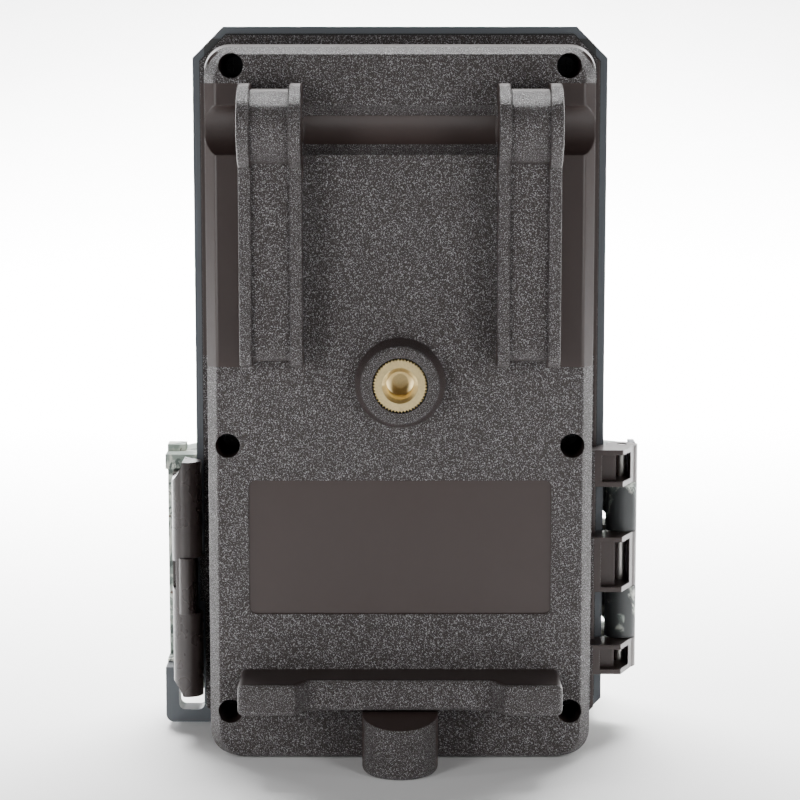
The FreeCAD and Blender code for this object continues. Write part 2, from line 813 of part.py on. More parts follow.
def padlock_loop():
    """Loop that grows out of the side and the cut corner of the front half."""
    top = ear_bottom + 1.0
    root_x = front_half_width - loop_sink
    corner_line = front_half_width - front_chamfer - loop_sink
    outline = [(corner_line + loop_bottom, loop_bottom), (ear_x, loop_bottom), (ear_x, top),
               (root_x, top), (root_x, root_x - corner_line)]
    loop = prism_y(outline, loop_rear_depth, loop_rear_depth + loop_thickness)
    low_corner = [edge for edge in edges_along(loop, vec(0, 1, 0))
                  if edge.Vertexes[0].X > ear_x - 0.1 and edge.Vertexes[0].Z < top - 1]
    loop = loop.makeFillet(loop_corner, low_corner)
    return loop.fuse(block(root_x, ear_x, loop_rear_depth, latch_depth, ear_bottom - 1.2, top))


def loop_opening():
    x0 = front_half_width - loop_side_recess
    x1 = ear_x - loop_wall
    return round_slab((x1 - x0) / 2, loop_bottom + loop_wall, ear_bottom - 1.2, 1.2,
                      loop_rear_depth - 3, latch_depth + 1, (x0 + x1) / 2)


def make_front_shell():
    outside = prism_y(front_outline(0.0), front_rim_depth, front_face_depth)
    outside = outside.makeFillet(front_edge_radius, edges_at_depth(outside, front_face_depth))
    rim_end = front_rim_depth + rim_depth
    shell = outside.cut([prism_y(front_outline(rim_land), front_rim_depth - 1, rim_end + 1),
                         prism_y(front_outline(front_wall), rim_end, front_inner_depth)])
    shell = shell.cut(gasket_ring(gasket_height, 0.03))

    posts = [rod_y(panel_post_radius, x, panel_front_depth, front_inner_depth + 0.3, z)
             for x, z in panel_posts()]
    shell = shell.fuse(posts + [hinge_ear(), latch_ear(), padlock_loop()])

    ir_low = ir_top - ir_window_height
    ledge = ir_window_half_width - ir_window_ledge
    cuts = [loop_opening(),
            rod_z(latch_pin_radius, latch_x, latch_depth, ear_bottom - 1.3, ear_top - ear_cheek),
            round_slab(ir_window_half_width + 0.1, ir_low - 0.1, ir_top + 0.1, 3.0,
                       front_face_depth - ir_window_thickness - 0.1, front_face_depth + 1),
            round_slab(ledge, ir_low + ir_window_ledge, ir_top - ir_window_ledge, 2.0,
                       front_inner_depth - 1, front_face_depth + 1),
            rod_y(lens_opening_radius, 0, front_inner_depth - 1, front_face_depth + 1, lens_z),
            block(-pir_half_width, pir_half_width, front_inner_depth - 1, front_face_depth + 1,
                  pir_z - pir_half_height, pir_z + pir_half_height),
            rod_y(sound_hole_radius, microphone_x, front_inner_depth - 1, front_face_depth + 1,
                  microphone_z)]
    cuts += [rod_y(side_window_radius + status_window_hole, side * side_window_x,
                   front_inner_depth - 1, front_face_depth + 1, lens_z) for side in sides]
    cuts += [rod_y(sound_hole_radius, 3.0 * step, front_inner_depth - 1, front_face_depth + 1,
                   speaker_z) for step in sides + (0,)]
    cuts += [rod_y(screw_shank_radius + 0.05, x, panel_front_depth - 1,
                   panel_front_depth + screw_length, z) for x, z in panel_posts()]
    cuts += socket_recess()
    return shell.cut(cuts).removeSplitter()


def socket_recess():
    """Recess in the bottom for the rubber cover, with the two socket holes."""
    skin = cover_thickness + 0.1
    rear = cover_rear_depth - cover_gap
    front = cover_hinge_depth + cover_thickness / 2 + cover_gap
    wide = cover_half_width + cover_gap
    jack_middle = board_front_depth + jack_depth / 2
    usb_middle = board_front_depth + usb_thickness / 2
    middle_z = cover_axis_z()
    return [block(-wide, wide, rear, front, -1, skin + cover_gap / 2),
            rod_z(jack_hole_radius, jack_x, jack_middle, -1, front_wall + 1),
            block(usb_x - usb_width / 2, usb_x + usb_width / 2, usb_middle - usb_thickness / 2,
                  usb_middle + usb_thickness / 2, -1, front_wall + 1),
            rod_x(cover_pin_radius + cover_pin_clearance, -wide - cover_pin_length - 0.2,
                  wide + cover_pin_length + 0.2, cover_hinge_depth, middle_z)]


def cover_axis_z():
    return 0.1 + cover_thickness / 2


def gasket_ring(height, extra):
    """Ring in the middle of the rim land; the extra makes the groove for it."""
    rear = parting_depth + gasket_clearance
    half = gasket_width / 2 + extra
    ring = prism_y(front_outline(rim_land / 2 - half), rear, rear + height + extra)
    return ring.cut(prism_y(front_outline(rim_land / 2 + half), rear - 1, rear + height + 1))


def make_latch():
    """Latch lever: pivot barrel, web, long grip roll and a claw in the middle."""
    low = latch_pivot_bottom
    high = latch_pivot_top
    barrel = rod_z(latch_barrel_radius, latch_x, latch_depth, low, high)
    outer_x = latch_roll_x + latch_roll_radius
    web = prism_z([(outer_x - latch_web, latch_roll_depth), (outer_x, latch_roll_depth),
                   (latch_x + latch_barrel_radius, latch_depth),
                   (latch_x + latch_barrel_radius - latch_web, latch_depth)], low, high)
    roll = rod_z(latch_roll_radius, latch_roll_x, latch_roll_depth, latch_bottom, latch_top)
    skirt_end = latch_roll_depth + latch_skirt
    skirt = prism_z([(latch_roll_x - latch_roll_radius, latch_roll_depth),
                     (outer_x, latch_roll_depth), (outer_x + 0.1, skirt_end),
                     (outer_x - 1.9, skirt_end)], latch_bottom, latch_top)
    claw_tip = flange_half_width + keeper_reach + keeper_gap
    hub = rod_z(latch_hub_radius, claw_tip + latch_hub_radius, latch_roll_depth - latch_hub_shift,
                latch_hub_bottom, latch_hub_top)
    keeper_way = block(latch_roll_x - latch_roll_radius - 1, claw_tip, latch_roll_depth - 5,
                       skirt_end + 1, latch_hub_bottom, latch_hub_top)
    claw_front = parting_depth - 0.9 - keeper_thickness - 0.7
    claw = prism_z([(claw_tip, claw_front - 1.2), (claw_tip, claw_front),
                    (outer_x - 0.8, claw_front), (outer_x - 0.8, latch_roll_depth),
                    (claw_tip + 1.2, latch_roll_depth - 1.6),
                    (claw_tip, latch_roll_depth - 0.9)], latch_hub_bottom, latch_hub_top)
    lever = barrel.fuse([web, roll, skirt]).cut(keeper_way).fuse([hub, claw])

    # scooped finger ends and the notch beside the hub
    rear = latch_roll_depth - 6
    scoop_x = outer_x + latch_scoop_reach
    cuts = [rod_y(latch_scoop, scoop_x, rear, rear + 14, latch_top + 1.6),
            rod_y(latch_scoop, scoop_x, rear, rear + 14, latch_bottom - 2.4),
            block(outer_x - latch_notch, outer_x + 1, rear, latch_roll_depth + 1,
                  latch_notch_bottom, latch_notch_top),
            rod_z(latch_pin_radius + latch_pin_clearance, latch_x, latch_depth, low - 1, high + 1)]
    return lever.cut(cuts).removeSplitter()


def make_latch_pin():
    return rod_z(latch_pin_radius, latch_x, latch_depth, ear_bottom + 0.2, ear_top - ear_cheek)


def key_places():
    """Name, X, height and half width of each round key; the last two are square."""
    near = key_pitch
    return [("key_ok", 0.0, key_row_z), ("key_up", 0.0, key_row_z + near),
            ("key_down", 0.0, key_row_z - near), ("key_left", -near, key_row_z),
            ("key_right", near, key_row_z), ("key_menu", -side_key_x, key_row_z),
            ("key_shot", side_key_x, key_row_z)]


def key_top(name, x, z, d0, d1, grow):
    if name in ("key_menu", "key_shot"):
        half = side_key_half + grow
        return round_slab(half, z - half * 0.7, z + half * 0.7, 1.2 + grow, d0, d1, x)
    return rod_y(key_radius + grow, x, d0, d1, z)


def make_key(name, x, z):
    plunger_end = board_depth - switch_height
    head = key_top(name, x, z, panel_depth - key_proud, panel_front_depth + 0.5, 0.0)
    head = head.makeFillet(0.35, edges_at_depth(head, panel_depth - key_proud))
    flange_rear = panel_front_depth + 0.1
    flange = key_top(name, x, z, flange_rear, flange_rear + key_flange_thickness, key_flange)
    stem = rod_y(key_stem_radius, x, flange_rear, plunger_end - 0.05 - key_travel, z)
    return head.fuse([flange, stem])


def make_panel():
    plate = prism_y(front_outline(rim_land + panel_clearance), panel_depth, panel_front_depth)
    cuts = [round_slab(lcd_half_width + 0.1, lcd_top - lcd_height - 0.1, lcd_top + 0.1, 1.0,
                       panel_depth - 1, panel_depth + lcd_window_thickness),
            round_slab(lcd_half_width - lcd_border, lcd_top - lcd_height + lcd_border,
                       lcd_top - lcd_border, 1.0, panel_depth - 1, panel_front_depth + 1),
            block(card_x - card_width / 2 - 1, card_x + card_width / 2 + 1, panel_depth - 1,
                  panel_front_depth + 1, card_bottom - 2.5, card_bottom + 5.5),
            block(slider_x - slider_half_width - 0.3,
                  slider_x + slider_half_width + 0.3, panel_depth - 1, panel_front_depth + 1,
                  slider_z - slider_half_travel - slider_half_height - 0.3,
                  slider_z + slider_half_travel + slider_half_height + 0.3)]
    cuts += [key_top(name, x, z, panel_depth - 1, panel_front_depth + 1, key_clearance)
             for name, x, z in key_places()]
    cuts += [rod_y(screw_pass_radius, x, panel_depth - 1, panel_front_depth + 1, z)
             for x, z in panel_posts()]
    return plate.cut(cuts)


def make_panel_screws():
    screws = []
    for x, z in panel_posts():
        head = rod_y(panel_screw_head_radius, x, panel_depth - 0.9, panel_depth, z)
        head = head.makeFillet(0.4, edges_at_depth(head, panel_depth - 0.9))
        shank = rod_y(screw_shank_radius, x, panel_depth - 0.1,
                      panel_depth + screw_length - 0.4, z)
        screws.append(head.fuse(shank))
    return screws


def make_slider():
    """Knob of the power switch, at the middle of its three places."""
    flange_rear = panel_front_depth + 0.1
    knob = block(slider_x - slider_half_width, slider_x + slider_half_width, panel_depth - 0.8,
                 flange_rear + 0.5, slider_z - slider_half_height, slider_z + slider_half_height)
    reach = slider_half_travel + slider_half_height + 1.0
    flange = block(slider_x - slider_half_width - 1, slider_x + slider_half_width + 1,
                   flange_rear, flange_rear + 0.8, slider_z - reach, slider_z + reach)
    return knob.fuse(flange)


def make_slide_switch():
    rear = panel_front_depth + 1.1
    return block(slider_x - 3.6, slider_x + 3.6, rear, board_depth, slider_z - 7, slider_z + 7)


def make_tact_switches():
    switches = []
    half = switch_size / 2
    for name, x, z in key_places():
        base = block(x - half, x + half, board_depth - switch_height + 0.9, board_depth,
                     z - half, z + half)
        plunger = rod_y(switch_plunger_radius, x, board_depth - switch_height,
                        board_depth - 1, z)
        switches.append(base.fuse(plunger))
    return switches


def make_board():
    board = prism_y(front_outline(front_wall + board_margin), board_depth, board_front_depth)
    return board.cut([rod_y(panel_post_radius + 0.4, x, board_depth - 1, board_front_depth + 1, z)
                      for x, z in panel_posts()])


def make_components():
    """Processor, memory, power parts and connectors on the front side of the board."""
    face = board_front_depth
    chips = [(-20, 90, 7, 7, 1.2), (-2, 96, 5, 4, 1.0), (14, 92, 6, 4.5, 1.0),
             (26, 98, 3.5, 3.5, 3.0), (-27, 62, 2.5, 4, 1.6), (25, 58, 4, 4, 4.0),
             (-27, 30, 4, 2.5, 2.2), (27, 34, 4.5, 4.5, 3.6), (-24, 112, 4, 8, 4.5)]
    return [block(x - half_x, x + half_x, face, face + tall, z - half_z, z + half_z)
            for x, z, half_x, half_z, tall in chips]


def make_camera_module():
    start = front_face_depth + lens_bezel_rise - 3.6 - lens_window_thickness - lens_barrel_length
    board = block(-sensor_half, sensor_half, start - sensor_thickness, start,
                  lens_z - sensor_half, lens_z + sensor_half)
    barrel = rod_y(lens_barrel_radius, 0, start, start + lens_barrel_length - 2.0, lens_z)
    return start, board, barrel


def make_bezel():
    """Ring around the lens, with a funnel mouth and a seat for the window."""
    top = front_face_depth + lens_bezel_rise
    ring = rod_y(lens_bezel_radius, 0, front_face_depth, top, lens_z)
    ring = ring.makeFillet(1.4, edges_at_depth(ring, top))
    neck = rod_y(lens_opening_radius - 0.1, 0, front_inner_depth, front_face_depth + 0.1, lens_z)
    seat = front_face_depth + lens_bezel_rise - 3.0
    funnel = cone_y(lens_window_radius + 0.1, lens_window_radius + 2.0, 0, seat, top + 0.01, lens_z)
    window_seat = rod_y(lens_window_radius + 0.1, 0, seat - lens_window_thickness, seat + 0.1,
                        lens_z)
    hole = rod_y(lens_window_radius - 1.2, 0, front_inner_depth - 1, seat, lens_z)
    return ring.fuse(neck).cut([funnel, window_seat, hole])


def make_lens_window():
    seat = front_face_depth + lens_bezel_rise - 3.0
    return rod_y(lens_window_radius, 0, seat - lens_window_thickness, seat, lens_z)


def bow(half_width, rise, d0):
    """Outline of (x, depth) face: flat behind, one arc in front."""
    y_back = y_at(front_face_depth)
    ends = [vec(-half_width, y_back, 0), vec(half_width, y_back, 0)]
    arc = Part.Arc(ends[0], vec(0, y_back - rise, 0), ends[1]).toShape()
    feet = [vec(half_width, y_at(d0), 0), vec(-half_width, y_at(d0), 0)]
    edges = [arc, Part.makeLine(ends[1], feet[0]), Part.makeLine(feet[0], feet[1]),
             Part.makeLine(feet[1], ends[0])]
    return Part.Face(Part.Wire(edges))


def make_pir_lens():
    """Bowed Fresnel lens of the motion sensor, hollow and open behind."""
    low = pir_z - pir_half_height + 0.1
    high = pir_z + pir_half_height - 0.1
    outer = bow(pir_half_width - 0.1, pir_rise, front_inner_depth).extrude(vec(0, 0, high - low))
    outer.translate(vec(0, 0, low))
    inner = bow(pir_half_width - 0.1 - pir_skin, pir_rise - pir_skin, front_inner_depth - 1)
    inner = inner.extrude(vec(0, 0, high - low - 2 * pir_skin))
    inner.translate(vec(0, 0, low + pir_skin))
    return outer.cut(inner)


def make_pir_frame():
    wide = pir_half_width + pir_frame
    tall = pir_half_height + pir_frame
    frame = round_slab(wide, pir_z - tall, pir_z + tall, 3.0, front_face_depth,
                       front_face_depth + pir_frame_rise)
    frame = frame.makeFillet(1.2, edges_at_depth(frame, front_face_depth + pir_frame_rise))
    return frame.cut(block(-pir_half_width, pir_half_width, front_face_depth - 1,
                           front_face_depth + pir_frame_rise + 1,
                           pir_z - pir_half_height, pir_z + pir_half_height))


def make_pir_sensor():
    base = rod_y(5.6, 0, board_front_depth, board_front_depth + 3.4, pir_z)
    can = rod_y(4.6, 0, board_front_depth + 3.4, board_front_depth + 7.6, pir_z)
    return base.fuse(can)


def ir_window_slab():
    return round_slab(ir_window_half_width, ir_top - ir_window_height, ir_top, 2.9,
                      front_face_depth - ir_window_thickness - 0.1, front_face_depth - 0.1)


def ir_board_depth():
    return front_inner_depth - 5.4


def make_ir_board():
    half = ir_window_half_width - 1.2
    low = ir_top - ir_window_height + 1.0
    high = ir_top - ir_window_ledge - 0.6
    return round_slab(half, low, high, 1.0, ir_board_depth(), ir_board_depth() + ir_board_thickness)


def make_ir_leds():
    start = ir_board_depth() + ir_board_thickness
    middle_z = ir_top - ir_window_height / 2
    leds = []
    for row in range(ir_led_rows):
        for column in range(ir_led_columns):
            x = (column - (ir_led_columns - 1) / 2) * ir_led_pitch
            z = middle_z + (row - (ir_led_rows - 1) / 2) * ir_led_pitch
            body = rod_y(ir_led_radius, x, start, start + 3.4, z)
            leds.append(body.makeFillet(1.0, edges_at_depth(body, start + 3.4)))
    return leds


def make_side_windows():
    return [rod_y(side_window_radius, side * side_window_x, front_inner_depth,
                  front_face_depth - 0.2, lens_z) for side in sides]


def make_microphone():
    return rod_y(microphone_radius, microphone_x, front_inner_depth - microphone_height,
                 front_inner_depth, microphone_z)


def make_speaker():
    start = front_inner_depth - speaker_height
    body = rod_y(speaker_radius, 0, start, front_inner_depth, speaker_z)
    return body.fuse(rod_y(speaker_radius * 0.55, 0, start - 2, start + 0.1, speaker_z))


def make_lcd():
    low = lcd_top - lcd_height + 0.4
    return block(-lcd_half_width + 0.4, lcd_half_width - 0.4, panel_front_depth + 0.1,
                 panel_front_depth + 0.1 + lcd_module_thickness, low, lcd_top - 0.4)


def make_lcd_window():
    return round_slab(lcd_half_width, lcd_top - lcd_height, lcd_top, 0.9, panel_depth,
                      panel_depth + lcd_window_thickness)


def card_rear_depth():
    return board_depth - socket_thickness + 0.45


def make_card():
    half = card_width / 2
    cut = 4.0
    outline = [(card_x - half, card_bottom), (card_x + half, card_bottom),
               (card_x + half, card_bottom + card_length - cut),
               (card_x + half - cut, card_bottom + card_length),
               (card_x - half, card_bottom + card_length)]
    return prism_y(outline, card_rear_depth(), card_rear_depth() + card_thickness)


def make_card_socket():
    low = card_bottom + 4.5
    socket = block(card_x - socket_width / 2, card_x + socket_width / 2,
                   board_depth - socket_thickness, board_depth, low, low + socket_height)
    room = block(card_x - card_width / 2 - 0.2, card_x + card_width / 2 + 0.2,
                 card_rear_depth() - 0.1, card_rear_depth() + card_thickness + 0.1,
                 low - 1, card_bottom + card_length + 0.2)
    return socket.cut(room)


def make_dc_jack():
    rear = board_front_depth
    middle = rear + jack_depth / 2
    body = block(jack_x - jack_width / 2, jack_x + jack_width / 2, rear, rear + jack_depth,
                 front_wall + 0.1, front_wall + 0.1 + jack_height)
    barrel = rod_z(jack_hole_radius, jack_x, middle, front_wall, front_wall + 8.5)
    pin = rod_z(1.0, jack_x, middle, front_wall + 1.1, front_wall + 9)
    return body.cut(barrel).fuse(pin)


def make_usb_socket():
    rear = board_front_depth
    half = usb_width / 2
    shell = block(usb_x - half, usb_x + half, rear, rear + usb_thickness, front_wall + 0.1,
                  front_wall + 0.1 + usb_height)
    room = block(usb_x - half + 0.4, usb_x + half - 0.4, rear + 0.4, rear + usb_thickness - 0.4,
                 front_wall, front_wall + usb_height - 1)
    tongue = block(usb_x - half + 1.5, usb_x + half - 1.5, rear + 1.5, rear + 2.3,
                   front_wall + 1.5, front_wall + usb_height)
    return shell.cut(room).fuse(tongue)


def make_cover():
    """Rubber cover of the bottom sockets, with its two hinge stubs."""
    middle_z = cover_axis_z()
    half = cover_thickness / 2
    plate = block(-cover_half_width, cover_half_width, cover_rear_depth, cover_hinge_depth,
                  middle_z - half, middle_z + half)
    barrel = rod_x(half, -cover_half_width, cover_half_width, cover_hinge_depth, middle_z)
    reach = cover_half_width + cover_gap + cover_pin_length
    return plate.fuse([barrel, rod_x(cover_pin_radius, -reach, reach, cover_hinge_depth, middle_z)])


def main():
    os.makedirs("parts", exist_ok=True)
    save("back_shell", make_back_shell())
    save("rear_tripod_insert", rear_insert())
    save("bottom_tripod_insert", bottom_insert())
    save("battery_tray", make_tray())
    save("aa_cells", make_cells())
    save("battery_springs", make_springs())
    save("battery_contacts", make_contacts())
    save("tray_screws", make_tray_screws())
    save("hinge_pin", make_hinge_pin())

    save("front_shell", make_front_shell())
    save("case_gasket", gasket_ring(gasket_height, 0.0))
    save("inner_panel", make_panel())
    save("panel_screws", make_panel_screws())
    save("lcd_window", make_lcd_window())
    save("lcd_module", make_lcd())
    save("main_board", make_board())
    save("board_components", make_components())
    save("tact_switches", make_tact_switches())
    save("slide_switch", make_slide_switch())
    save("card_socket", make_card_socket())
    save("memory_card", make_card())
    save("dc_jack", make_dc_jack())
    save("usb_socket", make_usb_socket())
    start, sensor, barrel = make_camera_module()
    save("sensor_board", sensor)
    save("lens_barrel", barrel)
    save("lens_element", rod_y(lens_barrel_radius - 1.2, 0, start + lens_barrel_length - 2.0,
                               start + lens_barrel_length, lens_z))
    save("lens_bezel", make_bezel())
    save("lens_window", make_lens_window())
    save("pir_sensor", make_pir_sensor())
    save("pir_lens", make_pir_lens())
    save("pir_frame", make_pir_frame())
    save("ir_board", make_ir_board())
    save("ir_leds", make_ir_leds())
    save("ir_window", ir_window_slab())
    save("side_windows", make_side_windows())
    save("microphone", make_microphone())
    save("speaker", make_speaker())
    save("latch_pin", make_latch_pin())

    save("latch_lever", make_latch())
    save("jack_cover", make_cover())
    save("power_knob", make_slider())
    for name, x, z in key_places():
        save(name, make_key(name, x, z))


main()
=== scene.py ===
import json
import math

import bmesh
import bpy
from mathutils import Matrix, Vector


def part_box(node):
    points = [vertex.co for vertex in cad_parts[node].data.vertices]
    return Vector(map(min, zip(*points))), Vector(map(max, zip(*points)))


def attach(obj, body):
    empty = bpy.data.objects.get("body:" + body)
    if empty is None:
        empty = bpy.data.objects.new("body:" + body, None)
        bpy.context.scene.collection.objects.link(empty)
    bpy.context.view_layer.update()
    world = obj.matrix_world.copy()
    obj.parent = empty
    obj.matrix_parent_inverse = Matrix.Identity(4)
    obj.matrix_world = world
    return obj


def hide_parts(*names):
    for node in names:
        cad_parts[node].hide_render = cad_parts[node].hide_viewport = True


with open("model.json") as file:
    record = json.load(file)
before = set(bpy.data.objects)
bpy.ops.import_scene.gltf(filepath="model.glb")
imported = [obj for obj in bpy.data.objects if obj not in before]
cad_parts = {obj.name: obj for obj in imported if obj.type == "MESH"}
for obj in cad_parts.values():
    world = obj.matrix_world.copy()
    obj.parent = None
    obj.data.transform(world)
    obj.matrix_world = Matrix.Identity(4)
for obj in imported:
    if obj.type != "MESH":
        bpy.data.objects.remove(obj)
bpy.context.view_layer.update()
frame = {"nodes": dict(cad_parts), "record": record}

mm = 0.001
nodes = frame["nodes"]
bossHeight = 4.3 * mm
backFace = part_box("rear_tripod_insert")[1].y - bossHeight   # the flat of the back


# ---- camera, floor and light ----

view = {
    "aimHeight": 69.3 * mm,
    "distance": 450 * mm,
    "elevation": math.radians(7.6),
    "lens": 108,
    "sensor": 36,
    "clipStart": 10 * mm,
}


def pointAt(thing, target):
    thing.rotation_euler = (target - thing.location).to_track_quat("-Z", "Y").to_euler()


def makeCamera():
    camera = bpy.data.objects.new("camera", bpy.data.cameras.new("camera"))
    camera.data.lens = view["lens"]
    camera.data.sensor_width = view["sensor"]
    camera.data.clip_start = view["clipStart"]
    aim = Vector((0, backFace, view["aimHeight"]))
    tilt = view["elevation"]
    camera.location = aim + view["distance"] * Vector((0, math.cos(tilt), math.sin(tilt)))
    pointAt(camera, aim)
    bpy.context.scene.collection.objects.link(camera)
    bpy.context.scene.camera = camera


studio = {
    "frontEdge": 0.8,
    "sweepStart": -0.75,
    "sweepRadius": 0.5,
    "sweepSteps": 24,
    "halfWidth": 0.7,
    "washSpread": math.radians(80),
    "paper": (0.90, 0.90, 0.90, 1),
    "paperWorn": (0.86, 0.86, 0.86, 1),
    "whiteSeen": 20.0,         # the white room as the camera sees it
    "roomLight": 0.05,         # what it gives to the object
    # name, place, target, width, height, watts
    "lights": [
        ("leftBox", (0.36, 0.46, 0.13), (0, 0, 0.07), 0.16, 0.40, 2.3),
        ("rightBox", (-0.36, 0.46, 0.13), (0, 0, 0.07), 0.16, 0.40, 2.0),
        ("leftStrip", (0.55, 0.20, 0.13), (0, 0, 0.07), 0.06, 0.50, 0.7),
        ("rightStrip", (-0.55, 0.20, 0.13), (0, 0, 0.07), 0.06, 0.50, 0.5),
        ("paperWash", (0.0, -0.72, 0.95), (0, -0.66, 0), 0.9, 0.5, 60.0),
        ("lensSideLeft", (0.52, -0.82, 0.35), (0, -0.06, 0.07), 0.5, 0.6, 9.0),
        ("lensSideRight", (-0.52, -0.82, 0.35), (0, -0.06, 0.07), 0.5, 0.6, 9.0),
    ],
}


def makeSweep():
    # white paper on the table, curving up behind the object
    look = studio
    mesh = bmesh.new()
    first = [mesh.verts.new((side * look["halfWidth"], look["frontEdge"], 0)) for side in (-1, 1)]
    edge = mesh.edges.new(first)
    flat = bmesh.ops.extrude_edge_only(mesh, edges=[edge])["geom"]
    row = [part for part in flat if isinstance(part, bmesh.types.BMVert)]
    bmesh.ops.translate(mesh, verts=row, vec=(0, look["sweepStart"] - look["frontEdge"], 0))
    rowEdge = [part for part in flat if isinstance(part, bmesh.types.BMEdge)]
    bmesh.ops.spin(mesh, geom=rowEdge, cent=(0, look["sweepStart"], look["sweepRadius"]),
                   axis=(1, 0, 0), angle=math.radians(-90), steps=look["sweepSteps"],
                   use_merge=False)
    bmesh.ops.remove_doubles(mesh, verts=mesh.verts, dist=0.0001)
    bmesh.ops.recalc_face_normals(mesh, faces=mesh.faces)
    data = bpy.data.meshes.new("paperSweep")
    mesh.to_mesh(data)
    mesh.free()
    data.shade_smooth()
    sweep = bpy.data.objects.new("paperSweep", data)
    bpy.context.scene.collection.objects.link(sweep)
    paper, tree, shader = newMaterial("paper")
    grain = put(tree, "ShaderNodeTexNoise", {"Scale": 40.0, "Detail": 3.0})
    tint = mixColor(tree, grain.outputs["Fac"], look["paperWorn"], look["paper"])
    tree.links.new(tint, shader.inputs["Base Color"])
    shader.inputs["Roughness"].default_value = 0.9
    shader.inputs["Specular IOR Level"].default_value = 0.1
    data.materials.append(paper)


def makeStudio():
    makeSweep()
    world = bpy.data.worlds.new("whiteRoom")
    world.use_nodes = True
    tree = world.node_tree
    background = tree.nodes["Background"]
    seen = put(tree, "ShaderNodeLightPath").outputs["Is Camera Ray"]
    strength = lift(tree, studio["roomLight"], seen, studio["whiteSeen"])
    tree.links.new(strength, background.inputs["Strength"])
    background.inputs["Color"].default_value = (1, 1, 1, 1)
    bpy.context.scene.world = world

    for name, spot, target, width, height, watts in studio["lights"]:
        lamp = bpy.data.lights.new(name, "AREA")
        lamp.shape = "RECTANGLE"
        lamp.size = width
        lamp.size_y = height
        lamp.energy = watts
        if name == "paperWash":
            lamp.spread = studio["washSpread"]
        box = bpy.data.objects.new(name, lamp)
        box.location = spot
        pointAt(box, Vector(target))
        bpy.context.scene.collection.objects.link(box)


# ---- small helpers for shader nodes ----

def newMaterial(name):
    material = bpy.data.materials.new(name)
    material.use_nodes = True
    tree = material.node_tree
    return material, tree, tree.nodes["Principled BSDF"]


def put(tree, kind, values=None, **settings):
    node = tree.nodes.new(kind)
    for key, value in settings.items():
        setattr(node, key, value)
    for key, value in (values or {}).items():
        plug(tree, value, node.inputs[key])
    return node


def plug(tree, value, socket):
    if isinstance(value, bpy.types.NodeSocket):
        tree.links.new(value, socket)
    else:
        socket.default_value = value


def mixColor(tree, factor, first, second):
    node = put(tree, "ShaderNodeMix", data_type="RGBA")
    plug(tree, factor, node.inputs[0])
    plug(tree, first, node.inputs[6])
    plug(tree, second, node.inputs[7])
    return node.outputs[2]


def calc(tree, operation, first, second=0.0):
    node = put(tree, "ShaderNodeMath", operation=operation)
    plug(tree, first, node.inputs[0])
    plug(tree, second, node.inputs[1])
    return node.outputs[0]


def ramp(tree, value, low, high):
    # 0 under low, 1 over high, smooth between
    node = put(tree, "ShaderNodeMapRange", {"Value": value, "From Min": low, "From Max": high},
               interpolation_type="SMOOTHSTEP")
    return node.outputs["Result"]


def lift(tree, base, value, span):
    # base, plus span where the value is 1
    return calc(tree, "ADD", base, calc(tree, "MULTIPLY", value, span))


def between(tree, value, low, high):
    return calc(tree, "MULTIPLY", calc(tree, "GREATER_THAN", value, low),
                calc(tree, "LESS_THAN", value, high))


def allOf(tree, *masks):
    result = masks[0]
    for mask in masks[1:]:
        result = calc(tree, "MULTIPLY", result, mask)
    return result


def anyOf(tree, *masks):
    result = masks[0]
    for mask in masks[1:]:
        result = calc(tree, "MAXIMUM", result, mask)
    return result


def place(tree):
    return put(tree, "ShaderNodeTexCoord").outputs["Object"]


def axesOf(tree, coords):
    split = put(tree, "ShaderNodeSeparateXYZ", {"Vector": coords})
    return split.outputs["X"], split.outputs["Y"], split.outputs["Z"]


def noise(tree, coords, scale, detail=2.0, rough=0.5, distortion=0.0):
    node = put(tree, "ShaderNodeTexNoise", {"Vector": coords, "Scale": scale, "Detail": detail,
                                           "Roughness": rough, "Distortion": distortion})
    return node.outputs["Fac"]


def bump(tree, shader, height, strength, distance, edgeRound=None):
    # with an edge radius, sharp edges are rounded in the shading too
    values = {"Height": height, "Strength": strength, "Distance": distance}
    if edgeRound:
        edges = put(tree, "ShaderNodeBevel", {"Radius": edgeRound}, samples=4)
        values["Normal"] = edges.outputs["Normal"]
    node = put(tree, "ShaderNodeBump", values)
    tree.links.new(node.outputs["Normal"], shader.inputs["Normal"])


# ---- materials ----

brownShell = {
    "grainDark": (0.028, 0.021, 0.020, 1),
    # the light grain colour is a painted highlight for the grain's peaks, not the plastic's own
    # colour
    "grainPaintedGlint": (0.420, 0.415, 0.425, 1),
    "smooth": (0.028, 0.017, 0.015, 1),
    "clouded": (0.026, 0.021, 0.021, 1),
    "cloudScale": 55,
    "cloudShare": 0.18,
    "grainScale": 6200,
    "grainHeight": 0.00050,
    "paintedGlint": (0.55, 0.68),      # where in the grain the painted glints (light colour standing in for highlights) start and end
    "faintScale": 900,
    "faintShare": 0.03,
    "rough": 0.36,
    "roughInClouds": 0.08,
    "roughInGrain": 0.04,
    "edgeRound": 0.35 * mm,
    "facing": (0.20, 0.50),     # grain fades out where a face turns away from the back
    "sideZone": (30.0 * mm, 75.5 * mm, 128.2 * mm),
    "label": (28.8 * mm, 28.1 * mm, 54.2 * mm),
    "labelDepth": (1.5 * mm, 0.2 * mm),
    "sideHeight": 1.5 * mm,
    "inside": (35.6 * mm, 2.0 * mm, 133.9 * mm),
    "wall": 2.0 * mm,
    "armsBeyond": -37.9 * mm,
}


